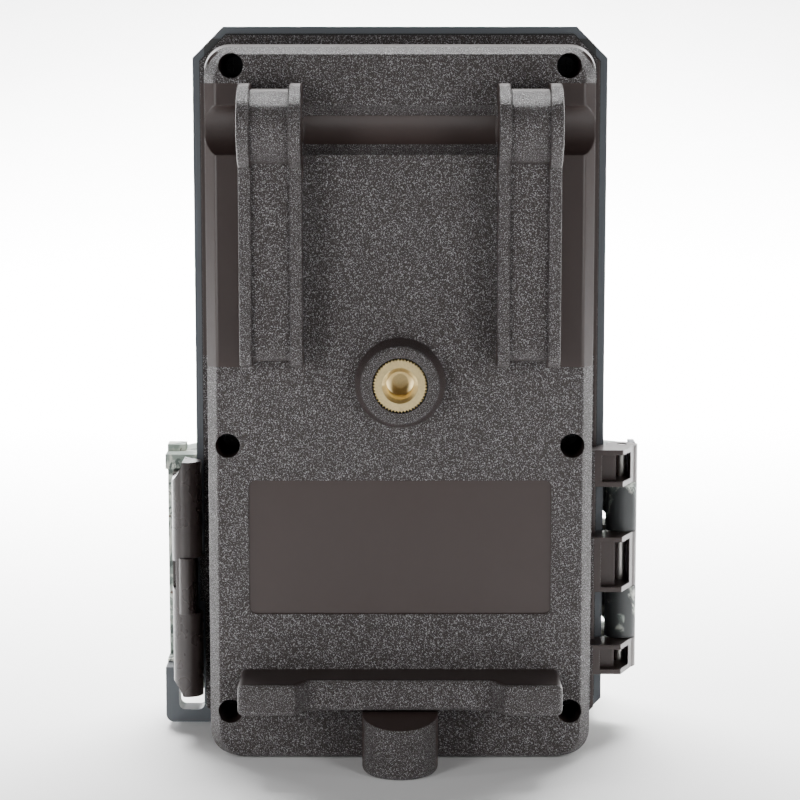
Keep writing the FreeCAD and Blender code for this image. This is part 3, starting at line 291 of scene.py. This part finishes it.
def smoothOnBack(tree, coords):
    # 1 on the side cores, the label recess, the hinge arms and the inside
    look = brownShell
    x, y, z = axesOf(tree, coords)
    wide = calc(tree, "ABSOLUTE", x)
    sideX, sideLow, sideHigh = look["sideZone"]
    side = allOf(tree, calc(tree, "GREATER_THAN", wide, sideX),
                 between(tree, z, sideLow, sideHigh),
                 calc(tree, "LESS_THAN", y, backFace + look["sideHeight"]))
    labelX, labelLow, labelHigh = look["label"]
    deep, shallow = look["labelDepth"]
    label = allOf(tree, calc(tree, "LESS_THAN", wide, labelX),
                  between(tree, z, labelLow, labelHigh),
                  between(tree, y, backFace - deep, backFace - shallow))
    arms = calc(tree, "LESS_THAN", x, look["armsBeyond"])
    insideX, insideLow, insideHigh = look["inside"]
    inside = allOf(tree, calc(tree, "LESS_THAN", wide, insideX),
                   calc(tree, "LESS_THAN", y, backFace - look["wall"]),
                   between(tree, z, insideLow, insideHigh))
    return anyOf(tree, side, label, arms, inside)


def backPlastic():
    # dark brown, spark-eroded where it faces back; the bright specks on the grain's peaks are
    # painted highlights
    look = brownShell
    material, tree, shader = newMaterial("brownSparkPlastic")
    coords = place(tree)
    normal = put(tree, "ShaderNodeTexCoord").outputs["Normal"]
    facing = axesOf(tree, normal)[1]
    textured = calc(tree, "MULTIPLY", calc(tree, "SUBTRACT", 1.0, smoothOnBack(tree, coords)),
                    ramp(tree, facing, *look["facing"]))

    grain = noise(tree, coords, look["grainScale"], 1.5, 0.5)
    paintedGlint = ramp(tree, grain, *look["paintedGlint"])
    cloud = noise(tree, coords, look["cloudScale"], 3.0)
    # painted highlight: a light colour on the grain's peaks stands in for the glints of the side
    # lights on the texture
    grainWithPaintedGlints = mixColor(tree, paintedGlint, look["grainDark"], look["grainPaintedGlint"])
    color = mixColor(tree, textured, look["smooth"], grainWithPaintedGlints)
    shade = mixColor(tree, calc(tree, "MULTIPLY", cloud, look["cloudShare"]), color,
                     look["clouded"])
    tree.links.new(shade, shader.inputs["Base Color"])
    rough = lift(tree, lift(tree, look["rough"], cloud, look["roughInClouds"]),
                 textured, look["roughInGrain"])
    tree.links.new(rough, shader.inputs["Roughness"])
    faint = noise(tree, coords, look["faintScale"], 2.0)
    height = lift(tree, calc(tree, "MULTIPLY", grain, textured), faint, look["faintShare"])
    bump(tree, shader, height, 1.0, look["grainHeight"], look["edgeRound"])
    return material


camoFilm = {
    "pale": (0.52, 0.56, 0.50, 1),
    "paleWarm": (0.66, 0.66, 0.58, 1),
    "sage": (0.20, 0.24, 0.21, 1),
    "dark": (0.045, 0.060, 0.055, 1),
    "bark": (0.10, 0.045, 0.035, 1),
    "bare": (0.060, 0.068, 0.078, 1),
    "knuckle": (0.018, 0.021, 0.022, 1),
    "inner": (0.020, 0.021, 0.022, 1),
    "warpScale": 70.0,
    "warpBy": 0.012,
    # noise scale, detail, roughness, distortion, then where the mask is 0 and where it is 1
    "warmth": (230, 4.0, 0.5, 0.0, 0.40, 0.62),
    "leaves": (105, 4.0, 0.6, 0.0, 0.47, 0.54),
    "shadows": (150, 5.0, 0.65, 0.6, 0.54, 0.59),
    "twigPatches": (45, 2.0, 0.5, 0.0, 0.45, 0.6),
    "specks": (420, 3.0, 0.5, 0.0, 0.66, 0.70),
    "knuckleWear": (150, 4.0, 0.5, 0.0, 0.60, 0.50),
    "twigScale": 170.0,
    "twigWidth": 0.045,
    "fadeScale": 700,
    "fadeShare": 0.3,
    "rough": 0.42,
    "roughScale": 300,
    "roughSpan": 0.14,
    "grainScale": 1500,
    "grainHeight": 0.00005,
    "loopTop": 12.4 * mm,
    "loopBeyond": 40.4 * mm,
    "loopSlope": 34.4 * mm,       # x minus z along the loop's slanted edge
    "rimFrom": -31.2 * mm,
    "halfWidth": 40.6 * mm,
    "lipsAbove": 56.5 * mm,
    "insideHalfWidth": 37.9 * mm,
    "insideHeights": (2.3 * mm, 136.7 * mm),
    "insideFrom": -62.2 * mm,
    "knuckleBeyond": -40.3 * mm,
    "knuckleFrom": -37.5 * mm,
}


def patches(tree, coords, values):
    *texture, none, full = values
    return ramp(tree, noise(tree, coords, *texture), none, full)


def filmColor(tree, coords, bent):
    # pale ground, then leaves, shadows, twigs and specks of bark
    look = camoFilm
    pale = mixColor(tree, patches(tree, bent, look["warmth"]), look["pale"], look["paleWarm"])
    sage = mixColor(tree, patches(tree, bent, look["leaves"]), pale, look["sage"])
    dark = mixColor(tree, patches(tree, bent, look["shadows"]), sage, look["dark"])
    cracks = put(tree, "ShaderNodeTexVoronoi", {"Vector": bent, "Scale": look["twigScale"]},
                 feature="DISTANCE_TO_EDGE").outputs["Distance"]
    twigMask = calc(tree, "MULTIPLY", ramp(tree, cracks, look["twigWidth"], 0.0),
                    patches(tree, coords, look["twigPatches"]))
    twigs = mixColor(tree, twigMask, dark, look["dark"])
    specks = mixColor(tree, patches(tree, coords, look["specks"]), twigs, look["bark"])
    fade = noise(tree, coords, look["fadeScale"], 2.0)
    return mixColor(tree, calc(tree, "MULTIPLY", fade, look["fadeShare"]), specks, look["sage"])


def camoPlastic():
    # camouflage film on the outside; bare grey plastic on the rim, the loop and the lips
    look = camoFilm
    material, tree, shader = newMaterial("camoFilmPlastic")
    coords = place(tree)
    x, y, z = axesOf(tree, coords)
    warp = put(tree, "ShaderNodeTexNoise", {"Vector": coords, "Scale": look["warpScale"],
                                            "Detail": 3.0})
    shift = put(tree, "ShaderNodeVectorMath", {0: warp.outputs["Color"], 1: [look["warpBy"]] * 3},
                operation="MULTIPLY")
    bent = put(tree, "ShaderNodeVectorMath", {0: coords, 1: shift.outputs[0]},
               operation="ADD").outputs[0]
    film = filmColor(tree, coords, bent)

    wide = calc(tree, "ABSOLUTE", x)
    slope = calc(tree, "SUBTRACT", x, z)
    loop = allOf(tree, calc(tree, "LESS_THAN", z, look["loopTop"]),
                 anyOf(tree, calc(tree, "GREATER_THAN", x, look["loopBeyond"]),
                       calc(tree, "GREATER_THAN", slope, look["loopSlope"])))
    rim = allOf(tree, calc(tree, "GREATER_THAN", y, look["rimFrom"]),
                calc(tree, "LESS_THAN", wide, look["halfWidth"]))
    lips = allOf(tree, calc(tree, "GREATER_THAN", wide, look["halfWidth"]),
                 calc(tree, "GREATER_THAN", z, look["lipsAbove"]))
    bare = anyOf(tree, loop, rim, lips)
    inner = allOf(tree, calc(tree, "LESS_THAN", wide, look["insideHalfWidth"]),
                  between(tree, z, *look["insideHeights"]),
                  calc(tree, "GREATER_THAN", y, look["insideFrom"]))
    knuckle = allOf(tree, calc(tree, "LESS_THAN", x, look["knuckleBeyond"]),
                    calc(tree, "GREATER_THAN", y, look["knuckleFrom"]),
                    patches(tree, bent, look["knuckleWear"]))
    outside = mixColor(tree, bare, mixColor(tree, knuckle, film, look["knuckle"]), look["bare"])
    tree.links.new(mixColor(tree, inner, outside, look["inner"]), shader.inputs["Base Color"])
    tree.links.new(lift(tree, look["rough"], noise(tree, coords, look["roughScale"]),
                        look["roughSpan"]), shader.inputs["Roughness"])
    bump(tree, shader, noise(tree, coords, look["grainScale"], 2.0), 0.25, look["grainHeight"])
    return material


def darkened(color, share):
    return tuple(channel * share for channel in color[:3]) + (1,)


# shade is the darker tone of each finish, as a share of its colour
moulded = {
    "shade": 0.6,
    "cloudScale": 90,
    "roughScale": 260,
    "roughUnder": 0.05,
    "roughSpan": 0.12,
    "bumpStrength": 0.5,
    "edgeRound": 0.25 * mm,
}


def plastic(name, color, rough, grainScale=1400, grainDepth=0.00003, spread=0.25):
    # moulded plastic or rubber with a fine grain and a little unevenness
    look = moulded
    material, tree, shader = newMaterial(name)
    coords = place(tree)
    cloud = noise(tree, coords, look["cloudScale"], 3.0)
    tint = mixColor(tree, calc(tree, "MULTIPLY", cloud, spread * 2), color,
                    darkened(color, look["shade"]))
    tree.links.new(tint, shader.inputs["Base Color"])
    wave = lift(tree, rough - look["roughUnder"], noise(tree, coords, look["roughScale"]),
                look["roughSpan"])
    tree.links.new(wave, shader.inputs["Roughness"])
    bump(tree, shader, noise(tree, coords, grainScale, 2.0), look["bumpStrength"], grainDepth,
         look["edgeRound"])
    return material


machined = {"shade": 0.72, "roughSpan": 0.16, "bumpStrength": 0.25, "markDepth": 0.00002}


def metal(name, color, rough, brush=(1, 1, 1), brushScale=900):
    # machined or ground metal; the brush stretches the marks along one axis
    look = machined
    material, tree, shader = newMaterial(name)
    shader.inputs["Metallic"].default_value = 1.0
    stretched = put(tree, "ShaderNodeMapping", {"Vector": place(tree), "Scale": brush}).outputs[0]
    marks = noise(tree, stretched, brushScale, 3.0)
    tree.links.new(mixColor(tree, marks, darkened(color, look["shade"]), color),
                   shader.inputs["Base Color"])
    tree.links.new(lift(tree, rough, marks, look["roughSpan"]), shader.inputs["Roughness"])
    bump(tree, shader, marks, look["bumpStrength"], look["markDepth"])
    return material


clear = {"shade": 0.85, "smearScale": 120, "roughSpan": 0.03, "ior": 1.49}


def glassy(name, color, rough, seeThrough, coat=0.0):
    # window, lens or screen with a slight smear
    look = clear
    material, tree, shader = newMaterial(name)
    smear = noise(tree, place(tree), look["smearScale"], 3.0)
    tree.links.new(mixColor(tree, smear, color, darkened(color, look["shade"])),
                   shader.inputs["Base Color"])
    tree.links.new(lift(tree, rough, smear, look["roughSpan"]), shader.inputs["Roughness"])
    shader.inputs["Transmission Weight"].default_value = seeThrough
    shader.inputs["IOR"].default_value = look["ior"]
    shader.inputs["Coat Weight"].default_value = coat
    return material


boardLook = {
    "mask": (0.010, 0.10, 0.035, 1),
    "maskWorn": (0.012, 0.075, 0.03, 1),
    "trace": (0.02, 0.17, 0.06, 1),
    "traceScale": 240.0,
    "traceWidth": 0.06,
    "plate": (0.62, 0.55, 0.30, 1),
    "holeScale": 260.0,
    "holeEdge": (0.20, 0.12),
    "rough": 0.32,
}


def boardGreen():
    # solder mask with traces and plated holes
    look = boardLook
    material, tree, shader = newMaterial("boardGreen")
    coords = place(tree)
    traces = put(tree, "ShaderNodeTexBrick", {
        "Vector": coords, "Scale": look["traceScale"], "Color1": look["mask"],
        "Color2": look["maskWorn"], "Mortar": look["trace"],
        "Mortar Size": look["traceWidth"]}).outputs["Color"]
    dots = put(tree, "ShaderNodeTexVoronoi",
               {"Vector": coords, "Scale": look["holeScale"]}).outputs["Distance"]
    plated = ramp(tree, dots, *look["holeEdge"])
    tree.links.new(mixColor(tree, plated, traces, look["plate"]), shader.inputs["Base Color"])
    shader.inputs["Roughness"].default_value = look["rough"]
    bump(tree, shader, dots, 0.3, 0.00004)
    return material


cellLook = {
    "sleeveTo": 24.4 * mm,
    "band": (-15 * mm, -6 * mm),
    "blue": (0.022, 0.045, 0.085, 1),
    "bandGrey": (0.55, 0.57, 0.58, 1),
    "worn": (0.01, 0.015, 0.02, 1),
    "can": (0.62, 0.62, 0.60, 1),
    "wearScale": 200,
    "wearShare": 0.3,
    "rough": 0.24,
    "roughScale": 400,
    "roughSpan": 0.1,
    "bumpScale": 350,
}


def cellSleeve():
    # plain shrink sleeve with a lighter band, bare metal at both ends
    look = cellLook
    material, tree, shader = newMaterial("cellSleeve")
    coords = place(tree)
    x = axesOf(tree, coords)[0]
    ends = calc(tree, "GREATER_THAN", calc(tree, "ABSOLUTE", x), look["sleeveTo"])
    sleeve = mixColor(tree, between(tree, x, *look["band"]), look["blue"], look["bandGrey"])
    wear = noise(tree, coords, look["wearScale"], 3.0)
    worn = mixColor(tree, calc(tree, "MULTIPLY", wear, look["wearShare"]), sleeve, look["worn"])
    tree.links.new(mixColor(tree, ends, worn, look["can"]), shader.inputs["Base Color"])
    tree.links.new(ends, shader.inputs["Metallic"])
    tree.links.new(lift(tree, look["rough"], noise(tree, coords, look["roughScale"]),
                        look["roughSpan"]), shader.inputs["Roughness"])
    bump(tree, shader, noise(tree, coords, look["bumpScale"]), 0.2, 0.00003)
    return material


milkLook = {
    "milk": (0.80, 0.80, 0.76, 1),
    "shaded": (0.70, 0.71, 0.68, 1),
    "cloudScale": 150,
    "rough": 0.35,
    "roughSpan": 0.1,
    "inward": 0.25,
    "reach": 2 * mm,
    "ringScale": 330.0,
    "ringWaver": 0.3,
    "ringHeight": 0.00006,
}


def fresnelMilk():
    # milky plastic that lets a little light through
    look = milkLook
    material, tree, shader = newMaterial("fresnelMilk")
    coords = place(tree)
    cloud = noise(tree, coords, look["cloudScale"], 2.0)
    tree.links.new(mixColor(tree, cloud, look["milk"], look["shaded"]),
                   shader.inputs["Base Color"])
    tree.links.new(lift(tree, look["rough"], cloud, look["roughSpan"]),
                   shader.inputs["Roughness"])
    shader.inputs["Subsurface Weight"].default_value = look["inward"]
    shader.inputs["Subsurface Radius"].default_value = [look["reach"]] * 3
    rings = put(tree, "ShaderNodeTexWave", {"Vector": coords, "Scale": look["ringScale"],
                                            "Distortion": look["ringWaver"]},
                wave_type="RINGS", rings_direction="Y").outputs["Fac"]
    bump(tree, shader, rings, 0.3, look["ringHeight"])
    return material


def makeMaterials():
    return {
        "back_plastic": backPlastic(),
        "camo_plastic": camoPlastic(),
        "latch_plastic": plastic("satinBrown", (0.024, 0.017, 0.016, 1), 0.27, 900, 0.00002, 0.1),
        "inner_plastic": plastic("innerBlack", (0.016, 0.016, 0.017, 1), 0.5),
        "black_plastic": plastic("satinBlack", (0.010, 0.010, 0.011, 1), 0.32),
        "key_plastic": plastic("keyGrey", (0.045, 0.048, 0.052, 1), 0.35, 1800),
        "brass": metal("turnedBrass", (0.98, 0.78, 0.40, 1), 0.24, (1, 1, 1), 2600),
        "pin_steel": metal("groundSteel", (0.86, 0.84, 0.80, 1), 0.30, (1, 1, 0.15), 1600),
        "spring_steel": metal("nickelPlate", (0.76, 0.75, 0.71, 1), 0.18),
        "screw_steel": metal("blackZinc", (0.055, 0.055, 0.058, 1), 0.32),
        "seal_rubber": plastic("softRubber", (0.012, 0.012, 0.012, 1), 0.68, 1000, 0.00005),
        "cell_jacket": cellSleeve(),
        "clear_window": glassy("clearAcrylic", (0.95, 0.97, 0.97, 1), 0.03, 0.95),
        "lens_glass": glassy("coatedGlass", (0.70, 0.68, 0.86, 1), 0.02, 0.9, 0.6),
        "dark_window": glassy("darkAcrylic", (0.012, 0.003, 0.004, 1), 0.06, 0.12, 0.5),
        "fresnel_plastic": fresnelMilk(),
        "screen": glassy("screenGlass", (0.012, 0.014, 0.018, 1), 0.08, 0.0, 0.8),
        "circuit_board": boardGreen(),
        "chip_black": plastic("chipBlack", (0.018, 0.018, 0.019, 1), 0.45),
        "card_plastic": plastic("cardBlue", (0.016, 0.020, 0.045, 1), 0.42),
        "led_epoxy": glassy("ledEpoxy", (0.80, 0.84, 0.95, 1), 0.05, 0.8),
    }


def dressFrame(materials):
    # every carried-over node gets the material of its slot
    for entry in frame["record"]["subparts"]:
        node = nodes[entry["node"]]
        node.data.materials.clear()
        node.data.materials.append(materials[entry["material_slot"]])


# ---- pieces that take the place of plain frame solids ----

weldGap = 0.002 * mm

def pieceFrom(mesh, name, material, body, smoothAngle=30):
    # a finished mesh becomes a piece at the origin, riding on its body
    bmesh.ops.remove_doubles(mesh, verts=mesh.verts, dist=weldGap)
    bmesh.ops.recalc_face_normals(mesh, faces=mesh.faces)
    data = bpy.data.meshes.new(name)
    mesh.to_mesh(data)
    mesh.free()
    data.shade_smooth()
    data.set_sharp_from_angle(angle=math.radians(smoothAngle))
    data.materials.append(material)
    piece = bpy.data.objects.new(name, data)
    bpy.context.scene.collection.objects.link(piece)
    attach(piece, body)
    return piece


def turned(profile, steps):
    # profile of (radius, height) points, turned around Z into a closed body
    mesh = bmesh.new()
    points = [mesh.verts.new((radius, 0, height)) for radius, height in profile]
    edges = [mesh.edges.new(pair) for pair in zip(points, points[1:])]
    bmesh.ops.spin(mesh, geom=points + edges, cent=(0, 0, 0), axis=(0, 0, 1),
                   angle=2 * math.pi, steps=steps, use_merge=True)
    bmesh.ops.remove_doubles(mesh, verts=mesh.verts, dist=weldGap / 2)
    return mesh


def aim(mesh, direction, at):
    # turns a mesh's +Z to the direction and moves its origin to the point
    turn = Vector((0, 0, 1)).rotation_difference(Vector(direction)).to_matrix().to_4x4()
    bmesh.ops.transform(mesh, matrix=Matrix.Translation(at) @ turn, verts=mesh.verts)


tripodInsert = {
    "radius": 5.16 * mm,
    "length": 7.5 * mm,
    "bore": 2.62 * mm,
    "threadDepth": 0.42 * mm,
    "pitch": 1.27 * mm,
    "threads": 5,
    "mouth": 3.35 * mm,
    "drillPoint": 0.35,        # depth of the drill point as a share of the bore
    "teeth": 50,
    "toothDepth": 0.45 * mm,
    "edge": 0.14 * mm,
    "smoothAngle": 25,
}


def makeInsert(name, node, body, direction, mouthAt, material):
    # knurled brass insert: milled rim, flat face, countersunk mouth, thread and drill point
    look = tripodInsert
    outer = look["radius"]
    profile = [(0, -look["length"]), (outer, -look["length"]), (outer, -look["edge"]),
               (outer - look["edge"], 0), (look["mouth"], 0)]
    height = -(look["mouth"] - look["bore"])
    for _ in range(look["threads"]):
        profile.append((look["bore"], height))
        profile.append((look["bore"] + look["threadDepth"], height - look["pitch"] / 2))
        height -= look["pitch"]
    profile += [(look["bore"], height), (0, height - look["drillPoint"] * look["bore"])]
    mesh = turned(profile, 2 * look["teeth"])
    shrink = 1 - look["toothDepth"] / outer
    for vert in mesh.verts:
        # every second column of the rim is a valley of the knurl
        column = round(math.atan2(vert.co.y, vert.co.x) * look["teeth"] / math.pi)
        if column % 2 and math.hypot(vert.co.x, vert.co.y) > outer - 1.5 * look["edge"]:
            vert.co.x *= shrink
            vert.co.y *= shrink
    aim(mesh, direction, mouthAt)
    piece = pieceFrom(mesh, name, material, body, look["smoothAngle"])
    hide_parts(node)


batterySpring = {
    "turns": 4,
    "foot": 3.0 * mm,
    "wire": 0.30 * mm,
    "stepsPerTurn": 24,
    "sides": 8,
    "rowStep": 7.2 * mm,       # half the pitch of the cells, to tell their springs apart
    "smoothAngle": 60,
}


def springEnds():
    # the frame's springs as one list of points for each
    ends = {}
    for vert in nodes["battery_springs"].data.vertices:
        corner = (vert.co.x > 0, round(vert.co.z / batterySpring["rowStep"]))
        ends.setdefault(corner, []).append(vert.co.copy())
    groups = []
    for side, row in sorted(ends):
        for group in groups:
            if group["side"] == side and abs(group["row"] - row) <= 1:
                group["row"] = row
                group["points"].extend(ends[side, row])
                break
        else:
            groups.append({"side": side, "row": row, "points": list(ends[side, row])})
    return [group["points"] for group in groups]


def makeSprings(material):
    # one wire coil against each cell's flat end
    look = batterySpring
    whole = bmesh.new()
    for points in springEnds():
        low = Vector([min(point[axis] for point in points) for axis in range(3)])
        high = Vector([max(point[axis] for point in points) for axis in range(3)])
        middle = (low + high) / 2
        length = high.x - low.x - 2 * look["wire"]
        start = low.x + look["wire"]
        ring = bmesh.ops.create_circle(whole, segments=look["sides"], radius=look["wire"],
                                       cap_ends=False)["verts"]
        stand = Matrix.Translation((start, middle.y + look["foot"] - look["wire"], middle.z))
        bmesh.ops.transform(whole, matrix=stand, verts=ring)
        edges = list({edge for vert in ring for edge in vert.link_edges})
        steps = look["turns"] * look["stepsPerTurn"]
        bmesh.ops.spin(whole, geom=ring + edges, cent=(start, middle.y, middle.z),
                       axis=(1, 0, 0), dvec=(length / steps, 0, 0),
                       angle=2 * math.pi * look["turns"], steps=steps, use_merge=False)
    openEnds = [edge for edge in whole.edges if edge.is_boundary]
    bmesh.ops.holes_fill(whole, edges=openEnds, sides=look["sides"])
    piece = pieceFrom(whole, "spring_coils", material, "back_half",
                      look["smoothAngle"])
    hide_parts("battery_springs")


lensParts = {
    "dome": 1.5 * mm,
    "domeSteps": 10,
    "elementSides": 64,
    "barrelSides": 72,
    "grooves": range(3, 11),   # which of the barrel's equal parts carry a groove
    "barrelParts": 14,
    "grooveDepth": 0.25 * mm,
    "grooveSlope": 0.2 * mm,
    "grooveBottom": 0.5 * mm,
    "grooveEnd": 0.7 * mm,
    "lip": 0.4 * mm,
    "seatGap": 0.1 * mm,
    "seatDepth": 0.02 * mm,
}


def makeLens(materials):
    # domed front element in a barrel with stepped rings
    look = lensParts
    low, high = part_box("lens_element")
    radius = (high.x - low.x) / 2
    depth = high.y - low.y
    middle = Vector((0, high.y, (low.z + high.z) / 2))
    profile = [(0, 0), (radius, 0), (radius, depth - look["dome"])]
    for step in range(1, look["domeSteps"] + 1):
        turn = math.pi / 2 * step / look["domeSteps"]
        profile.append((radius * math.cos(turn), depth - look["dome"] * (1 - math.sin(turn))))
    mesh = turned(profile, look["elementSides"])
    aim(mesh, (0, -1, 0), middle)
    element = pieceFrom(mesh, "front_lens", materials["lens_glass"], "front_half")
    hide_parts("lens_element")

    low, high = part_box("lens_barrel")
    outer = (high.x - low.x) / 2
    length = high.y - low.y
    profile = [(0, 0), (outer, 0)]
    bottom = outer - look["grooveDepth"]
    for part in look["grooves"]:
        level = length * part / look["barrelParts"]
        profile += [(outer, level), (bottom, level + look["grooveSlope"]),
                    (bottom, level + look["grooveBottom"]), (outer, level + look["grooveEnd"])]
    seat = radius + look["seatGap"]
    floor = length - look["seatDepth"]
    profile += [(outer, length - look["lip"]), (outer - look["lip"], length), (seat, length),
                (seat, floor), (0, floor)]
    mesh = turned(profile, look["barrelSides"])
    aim(mesh, (0, -1, 0), Vector((0, high.y, middle.z)))
    barrel = pieceFrom(mesh, "ringed_barrel", materials["black_plastic"], "front_half")
    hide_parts("lens_barrel")


keyMarks = {
    "size": 1.5 * mm,
    "rise": 0.06 * mm,
    "taper": 0.85,
    "turns": {"key_up": 90, "key_down": 270, "key_left": 0, "key_right": 180},
}


def makeKeyMarks(material):
    # raised arrow on each of the four direction keys
    look = keyMarks
    for key, degrees in look["turns"].items():
        low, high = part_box(key)
        mesh = bmesh.new()
        bmesh.ops.create_cone(mesh, cap_ends=True, segments=3, radius1=look["size"],
                              radius2=look["size"] * look["taper"], depth=2 * look["rise"])
        bmesh.ops.rotate(mesh, cent=(0, 0, 0), verts=mesh.verts,
                         matrix=Matrix.Rotation(math.radians(degrees), 3, "Z"))
        aim(mesh, (0, 1, 0), Vector(((low.x + high.x) / 2, high.y, (low.z + high.z) / 2)))
        pieceFrom(mesh, key + "_arrow", material, key + "_body")


makeCamera()
makeStudio()
print("camera, floor and lights are set")
materials = makeMaterials()
dressFrame(materials)
print("materials are on the frame's nodes")

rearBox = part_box("rear_tripod_insert")
rearMiddle = (rearBox[0] + rearBox[1]) / 2
makeInsert("rear_socket_brass", "rear_tripod_insert", "back_half", (0, 1, 0),
           Vector((rearMiddle.x, rearBox[1].y, rearMiddle.z)), materials["brass"])
makeInsert("bottom_socket_brass", "bottom_tripod_insert", "back_half", (0, 0, -1),
           Vector((0, 0, 0)), materials["brass"])
makeSprings(materials["spring_steel"])
makeLens(materials)
makeKeyMarks(materials["key_plastic"])
print("sockets, springs, lens and key marks are made")
